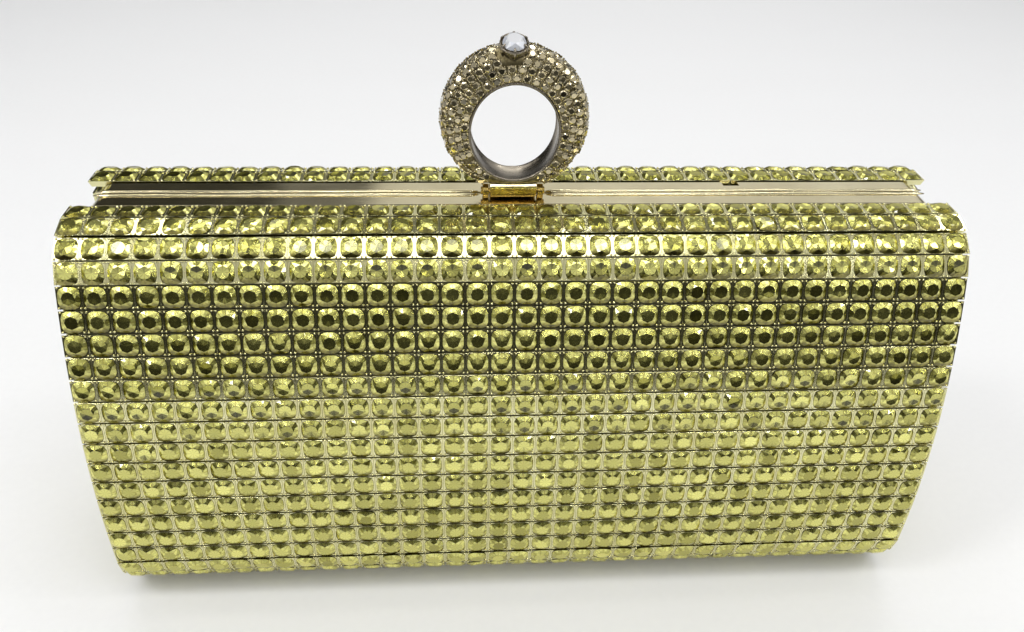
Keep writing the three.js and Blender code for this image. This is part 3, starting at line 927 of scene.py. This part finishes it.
def make_pave():
    frames = []
    for rows, widest in ((PAVE_ROWS, math.inf), (NARROW_ROWS, NARROW_WIDTH)):
        for number, (share, depth, narrowest) in enumerate(rows):
            frames += pave_row(share, depth, narrowest, widest, 0.5 * (number % 2))
    origins = np.array([here for here, _ in frames])
    axes = tilted(np.array([axes for _, axes in frames]), PAVE_LOOSE)
    stone = brilliant_template(round_outline(PAVE_RADIUS), PAVE_TABLE * PAVE_RADIUS,
                               PAVE_BREAK * PAVE_RADIUS, PAVE_DEPTHS)
    pave = add_object("ring_pave_stones", *copies(stone, (origins, axes)), PAVE_STONE,
                      "ring_latch", "antique_gold")
    set_tones_and_reflections(pave, RANDOM.uniform(0, 1, len(frames)), len(stone[1]))
    diagonal = math.sqrt(0.5)
    corners = [(u * diagonal, v * diagonal) for u, v in ((1, 1), (-1, 1), (-1, -1), (1, -1))]
    beads = studs(corners, GRAIN_RINGS, GRAIN_TOP)
    add_object("ring_pave_beads", *copies(beads, (origins, axes)), BEADS, "ring_latch",
               "antique_gold", smooth=True)


# ---- the solitaire and its setting
SOLITAIRE_TABLE, SOLITAIRE_BREAK = 1.65, 2.3
SOLITAIRE_DEPTHS = (-2.85, -2.4, -1.45, -0.1)
# the second number is the share of painted reflection on each facet
SOLITAIRE_TONE, SOLITAIRE_PAINTED_REFLECTION = 0.6, 0.75
CLAWS, CLAW_FLAT, SEAT_STEPS = 6, 0.75, 40
CLAW_SPINE = (  # (radius from the stone's axis, height, thickness)
    (3.0, -0.9, 0.42), (3.32, 0.6, 0.4), (3.2, 1.55, 0.36), (2.86, 1.98, 0.3), (2.5, 2.16, 0.16))
SEAT_PROFILE = (  # (radius, height) of the cup under the stone
    (2.2, -1.2), (2.6, -1.2), (2.9, -0.7), (3.25, 0.2), (3.35, 0.9), (3.4, 1.2),
    (3.32, 1.4), (3.15, 1.45), (3.05, 1.2), (2.6, 0.1))


def setting_point(x, y, z):
    """A point counted from the tilted seat on top of the ring."""
    turned = Matrix.Rotation(STONE_TILT, 3, "X") @ Vector((x, y, z)) * SETTING_SIZE
    return np.array([RING_X + SETTING_SHIFT + turned.x, SETTING_OUT + turned.y,
                     HEIGHT + SETTING_RISE + turned.z])


def lathe(profile, count):
    """A closed solid turned around Z from (radius, z) points."""
    verts = [(*point, z) for radius, z in profile for point in circle(radius, count)]
    return verts, stack_faces(len(profile), count)


def in_setting(solid):
    verts, faces = solid
    return [setting_point(*point) for point in verts], faces


def claw(angle):
    """One claw: a tapered bar that leans over the stone's edge."""
    count = 6
    verts = []
    for radius, z, thick in CLAW_SPINE:
        for out, side in circle(thick, count):
            reach = radius + CLAW_FLAT * out
            verts.append((reach * math.cos(angle) - side * math.sin(angle),
                          reach * math.sin(angle) + side * math.cos(angle), z))
    return outward(verts, stack_faces(len(CLAW_SPINE), count))


def make_setting():
    cup = lathe(SEAT_PROFILE, SEAT_STEPS)
    claws = [claw((2 * k + 1) * math.pi / CLAWS) for k in range(CLAWS)]
    setting = add_object("solitaire_setting", *in_setting(joined([outward(*cup), *claws])),
                         LINER, "ring_latch", "antique_gold", smooth=True)
    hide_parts("stone_setting")
    stone = brilliant_template(round_outline(SOLITAIRE_RADIUS), SOLITAIRE_TABLE,
                               SOLITAIRE_BREAK, SOLITAIRE_DEPTHS)
    piece = add_object("solitaire_brilliant", *in_setting(stone), CLEAR_STONE, "ring_latch",
                       "clear_stone")
    set_tones_and_reflections(piece, np.array([SOLITAIRE_TONE]), len(stone[1]), SOLITAIRE_PAINTED_REFLECTION)
    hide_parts("solitaire_stone")


# ---- the latch block and its ears
def extruded(outline, low, high, bevel):
    """A solid with rounded edges: outline (y, z) drawn out along X."""
    made = bmesh.new()
    face = made.faces.new([made.verts.new((low, y, z)) for y, z in outline])
    moved = bmesh.ops.extrude_face_region(made, geom=[face])
    tops = [v for v in moved["geom"] if isinstance(v, bmesh.types.BMVert)]
    bmesh.ops.translate(made, verts=tops, vec=(high - low, 0, 0))
    bmesh.ops.recalc_face_normals(made, faces=made.faces)
    bmesh.ops.bevel(made, geom=made.edges[:], offset=bevel, segments=3, affect="EDGES",
                    profile=0.6, clamp_overlap=True)
    made.verts.index_update()
    verts = [tuple(v.co) for v in made.verts]
    faces = [tuple(v.index for v in f.verts) for f in made.faces]
    made.free()
    return verts, faces


def on_rails(solid):
    verts, faces = solid
    return [(RING_X + x, y, HEIGHT + z) for x, y, z in verts], faces


BLOCK_SIDE = (  # (y, z) outlines of the block's parts
    (-BLOCK_HALF_DEPTH, 0.85), (-2.5, BLOCK_BOTTOM), (BLOCK_HALF_DEPTH, BLOCK_BOTTOM),
    (BLOCK_HALF_DEPTH, BLOCK_TOP), (-BLOCK_HALF_DEPTH, BLOCK_TOP))
NOSE_SIDE = ((1.4, -1.2), (2.4, -1.2), (2.4, 0.8), (1.4, 0.8))
SADDLE_SIDE = ((-3.62, 2.7), (3.62, 2.7), (3.62, 3.3), (2.4, 4.4), (-2.4, 4.4), (-3.62, 3.3))
NOSE_HALF_WIDTH, SADDLE_HALF_WIDTH = 3.0, 4.95
BLOCK_BEVEL, SMALL_BEVEL, SADDLE_BEVEL = 0.28, 0.15, 0.14


def make_block():
    body = extruded(BLOCK_SIDE, -BLOCK_HALF_WIDTH, BLOCK_HALF_WIDTH, BLOCK_BEVEL)
    nose = extruded(NOSE_SIDE, -NOSE_HALF_WIDTH, NOSE_HALF_WIDTH, SMALL_BEVEL)
    block = add_object("latch_block", *on_rails(joined([body, nose])), GOLD,
                       "ring_latch", "bright_gold", smooth=True, sharp=CRISP_METAL)
    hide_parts("ring_base")
    saddle = extruded(SADDLE_SIDE, -SADDLE_HALF_WIDTH, SADDLE_HALF_WIDTH, SADDLE_BEVEL)
    add_object("ring_foot", *on_rails(saddle), CHAMPAGNE, "ring_latch", "antique_gold",
               smooth=True, sharp=CRISP_METAL)


EAR_GAP, EAR_THICK, EAR_RADIUS, EAR_BOTTOM, EAR_BEVEL = 0.3, 1.25, 1.4, 0.3, 0.16
PIN_HEAD_RADIUS, PIN_HEAD_PROUD, PIN_HEAD_SUNK, PIN_HEAD_BEVEL = 0.8, 0.35, 0.1, 0.14


def make_ear(name, side):
    """A rounded lug with the head of the pivot pin on its outside."""
    inner, outer = BLOCK_HALF_WIDTH + EAR_GAP, BLOCK_HALF_WIDTH + EAR_GAP + EAR_THICK
    pivot = (PIVOT_OUT, PIVOT_RISE)
    arc = circle(EAR_RADIUS, 20, pivot)[:11]
    outline = [(PIVOT_OUT - EAR_RADIUS, EAR_BOTTOM), (PIVOT_OUT + EAR_RADIUS, EAR_BOTTOM), *arc]
    lug = extruded(outline, *sorted((side * inner, side * outer)), EAR_BEVEL)
    head_ends = sorted((side * (outer - PIN_HEAD_SUNK), side * (outer + PIN_HEAD_PROUD)))
    head = extruded(circle(PIN_HEAD_RADIUS, 16, pivot), *head_ends, PIN_HEAD_BEVEL)
    ear = add_object(name + "_lug", *on_rails(joined([lug, head])), GOLD, "front_half",
                     "bright_gold", smooth=True, sharp=CRISP_METAL)
    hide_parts(name)


# ---- the satin linings
SKIN_START = MOUTH - RAIL_HALF
SKIN_END = (TOP_FLAT + sum(radius * (end - start) for _, radius, start, end in ARCS)
            + CENTRES[2][0] - MOUTH)
LINING_HALF = 88.45
LINING_THICK = 0.75
LINING_CORNER = 2.5  # how softly the cloth turns into the ends
TRAY_STEPS = 56
PIPING_RADIUS = 0.42
STITCH_PITCH = 2.7
STITCH_IN = 2.2  # from the mouth's edge
STITCH_SHAPE = ((0.0, 0.05), (0.3, 0.17), (1.3, 0.17), (1.6, 0.05))  # (along, radius)
HEM, HEM_FADE = 2.8, 2.0  # the sewn strip that stays flat, and its soft edge
CARD_CLEAR = 0.05
PUCKER_SIZE, PUCKER_RISE = (13, 18), 1.1
GATHER_SIZE, GATHER_RISE, GATHER_REACH = (3.4, 30), 0.9, 14
PUCKER_MIDDLE = 0.4
FLAP_STEPS, CORNER_STEPS, MIDDLE_STEPS = 14, 6, 98
MOUTH_CORNER = 3.0  # cut off each corner of the mouth's rectangle
PIPING_DEEP, PIPING_IN, PIPING_STEP = LINING_THICK + 0.3, 0.5, 1.5
STITCH_DEEP = LINING_THICK + 0.32


def pucker(x, share):
    """How far the cloth stands off its card: broad and soft, with gathers near the mouth."""
    along = share * (SKIN_END - SKIN_START)
    broad = noise.noise(Vector((x / PUCKER_SIZE[0], along / PUCKER_SIZE[1], 0.3)))
    gathers = noise.noise(Vector((x / GATHER_SIZE[0], along / GATHER_SIZE[1], 5.0)))
    to_mouth = min(share, 1 - share) * (SKIN_END - SKIN_START)
    return max(0.0, PUCKER_MIDDLE + PUCKER_RISE * broad
               + GATHER_RISE * gathers * math.exp(-to_mouth / GATHER_REACH))


def tray_stations():
    """(x, how far the section is drawn in, its share of the full size) from end to end."""
    left = [(-LINING_HALF, LINING_CORNER, share)
            for share in np.linspace(0.06, 0.96, FLAP_STEPS)]
    for turn in np.linspace(0, math.pi / 2, CORNER_STEPS):
        left.append((-LINING_HALF + LINING_CORNER * (1 - math.cos(turn)),
                     LINING_CORNER * (1 - math.sin(turn)), 1.0))
    inner = LINING_HALF - LINING_CORNER
    middle = [(x, 0.0, 1.0) for x in np.linspace(-inner, inner, MIDDLE_STEPS)[1:-1]]
    return left + middle + [(-x, drawn, share) for x, drawn, share in reversed(left)]


def tray_point(side, station, share, depth):
    """A point of the tray, depth inside its outer face, and further in where it puckers."""
    x, drawn, size = station
    level = size * (1 - drawn / LINING_CORNER)
    along = SKIN_START + share * (SKIN_END - SKIN_START)
    inset = LINING_INSET + CARD_CLEAR + depth + drawn
    loose = size * (section(along, inset)[0][0] - MOUTH) - HEM
    fold = pucker(x, share) * (1 - math.exp(-max(0.0, loose) / HEM_FADE)) if depth else 0.0
    out, z = section(along, inset + fold * level)[0]
    inward = (depth + fold) * (1 - level)
    return (x - math.copysign(inward, x), side * (MOUTH + size * (out - MOUTH)),
            HEIGHT / 2 + size * (z - HEIGHT / 2))


def lining_solid(side):
    stations = tray_stations()
    shares = np.linspace(0, 1, TRAY_STEPS)
    verts = []
    for depth in (LINING_THICK, 0.0):
        for station in stations:
            verts += [tray_point(side, station, share, depth) for share in shares]
    layer = len(stations) * TRAY_STEPS
    faces = []
    for r in range(len(stations) - 1):
        for p in range(TRAY_STEPS - 1):
            corner = r * TRAY_STEPS + p
            quad = (corner, corner + 1, corner + TRAY_STEPS + 1, corner + TRAY_STEPS)
            faces += [quad, tuple(index + layer for index in reversed(quad))]
    edges = [r * TRAY_STEPS for r in range(len(stations))]
    rims = [edges, [index + TRAY_STEPS - 1 for index in edges]]
    for start, x in ((edges[0], -LINING_HALF), (edges[-1], LINING_HALF)):
        middles = []
        for depth in (LINING_THICK, 0.0):
            middles.append(len(verts))
            verts.append((x - math.copysign(depth, x), side * MOUTH, HEIGHT / 2))
        for p in range(TRAY_STEPS - 1):
            faces.append((start + p, start + p + 1, middles[0]))
            faces.append((start + p + 1 + layer, start + p + layer, middles[1]))
        for p in (0, TRAY_STEPS - 1):
            faces.append((start + p, middles[0], middles[1], start + p + layer))
    for rim in rims:
        for here, after in zip(rim, rim[1:]):
            faces.append((here, after, after + layer, here + layer))
    return outward(verts, faces)


def mouth_loop(side, inset, out, x_half, step):
    """Points at even spaces around the mouth, a rectangle with its corners cut."""
    top, low = HEIGHT - inset, inset
    high, deep, across = top - MOUTH_CORNER, low + MOUTH_CORNER, x_half - MOUTH_CORNER
    corners = [(-x_half, deep), (-x_half, high), (-across, top), (across, top),
               (x_half, high), (x_half, deep), (across, low), (-across, low)]
    points = []
    for here, after in zip(corners, corners[1:] + corners[:1]):
        here, after = np.array(here), np.array(after)
        count = max(1, round(np.linalg.norm(after - here) / step))
        points += [here + (after - here) * k / count for k in range(count)]
    return [np.array([x, side * out, z]) for x, z in points]


def around(middle, step, radius, count):
    """A circle of points around a path in a half's XZ plane."""
    normal = np.cross(step / np.linalg.norm(step), (0, 1, 0))
    return [middle + a * normal + b * np.array([0, 1, 0]) for a, b in circle(radius, count)]


def piping(side):
    """A thin cord sewn around the lining's mouth."""
    path = mouth_loop(side, LINING_INSET + PIPING_DEEP, MOUTH + PIPING_IN,
                      LINING_HALF - PIPING_DEEP, PIPING_STEP)
    count = 8
    verts = []
    for k, here in enumerate(path):
        verts += around(here, path[(k + 1) % len(path)] - path[k - 1], PIPING_RADIUS, count)
    return outward(verts, loop_faces(len(path), count))


def stitching(side):
    """Short thread stitches in a row just inside the mouth, top, bottom and ends."""
    loop = mouth_loop(side, LINING_INSET + STITCH_DEEP, MOUTH + STITCH_IN,
                      LINING_HALF - STITCH_DEEP, STITCH_PITCH)
    count = 6
    parts = []
    for k, here in enumerate(loop):
        step = loop[(k + 1) % len(loop)] - here
        step /= np.linalg.norm(step)
        verts = []
        for along, thick in STITCH_SHAPE:
            verts += around(here + along * step, step, thick, count)
        parts.append(outward(verts, stack_faces(len(STITCH_SHAPE), count)))
    return joined(parts)


def make_lining(half, side):
    body = half + "_half"
    cloth = add_object(half + "_satin_lining", *lining_solid(side), SATIN, body,
                       "satin_lining", smooth=True, sharp=CRISP_CLOTH)
    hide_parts(half + "_lining")
    cord = add_object(half + "_lining_piping", *piping(side), SATIN, body, "satin_lining",
                      smooth=True)
    thread = add_object(half + "_lining_stitches", *stitching(side), THREAD, body,
                        "satin_lining", smooth=True)


# ---- carried-over CAD nodes
def paint_nodes():
    looks = {
        "frame": CHAMPAGNE, "hinge_leaf": CHAMPAGNE, "hinge_rivet": GOLD, "shell": SHELL,
        "hinge_pin": STEEL, "latch_pin": GOLD, "latch_spring": STEEL,
    }
    for name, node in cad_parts.items():
        for key, material in looks.items():
            if key in name:
                node.data.materials.clear()
                node.data.materials.append(material)


def make_floor():
    floor = flat_grid("floor", floor_material(), FLOOR_STEPS, FLOOR_STEPS, FLOOR_HALF)
    floor.location.z = -FLOOR_DROP


# ---- build
make_camera()
make_lights()
CRYSTAL = crystal_material()
CUPS = cup_material()
CHAMPAGNE, GOLD, LINER, BEADS, SHELL, STEEL = (polished_material(*look) for look in METALS)
PAVE_METAL = pave_metal_material()
PAVE_STONE = stone_material("champagne_stone", CHAMPAGNE_STONE, (0.05, 0.14), 0.8, 3.0,
                            Metallic=0.9, Coat_Roughness=0.02, Coat_IOR=1.6)
CLEAR_STONE = stone_material("clear_solitaire", CLEAR, (0.03, 0.08), 0.5, 1.0,
                             Metallic=0.35, Coat_Roughness=0.01, Coat_IOR=1.7)
SATIN = satin_material("satin", (0.17, 0.145, 0.06), (0.30, 0.26, 0.12))
THREAD = satin_material("satin_thread", (0.34, 0.30, 0.15), (0.44, 0.39, 0.22))

for half_name, half_side in (("front", -1), ("back", 1)):
    make_wrap(half_name, half_side)
    make_end(half_name, half_side, "left", -1)
    make_end(half_name, half_side, "right", 1)
    make_rail_beads(half_name, half_side)
    make_lining(half_name, half_side)
make_band()
make_liner()
make_pave()
make_setting()
make_block()
make_ear("latch_ear_left", -1)
make_ear("latch_ear_right", 1)
paint_nodes()
make_floor()

bpy.context.scene.view_settings.view_transform = "Standard"
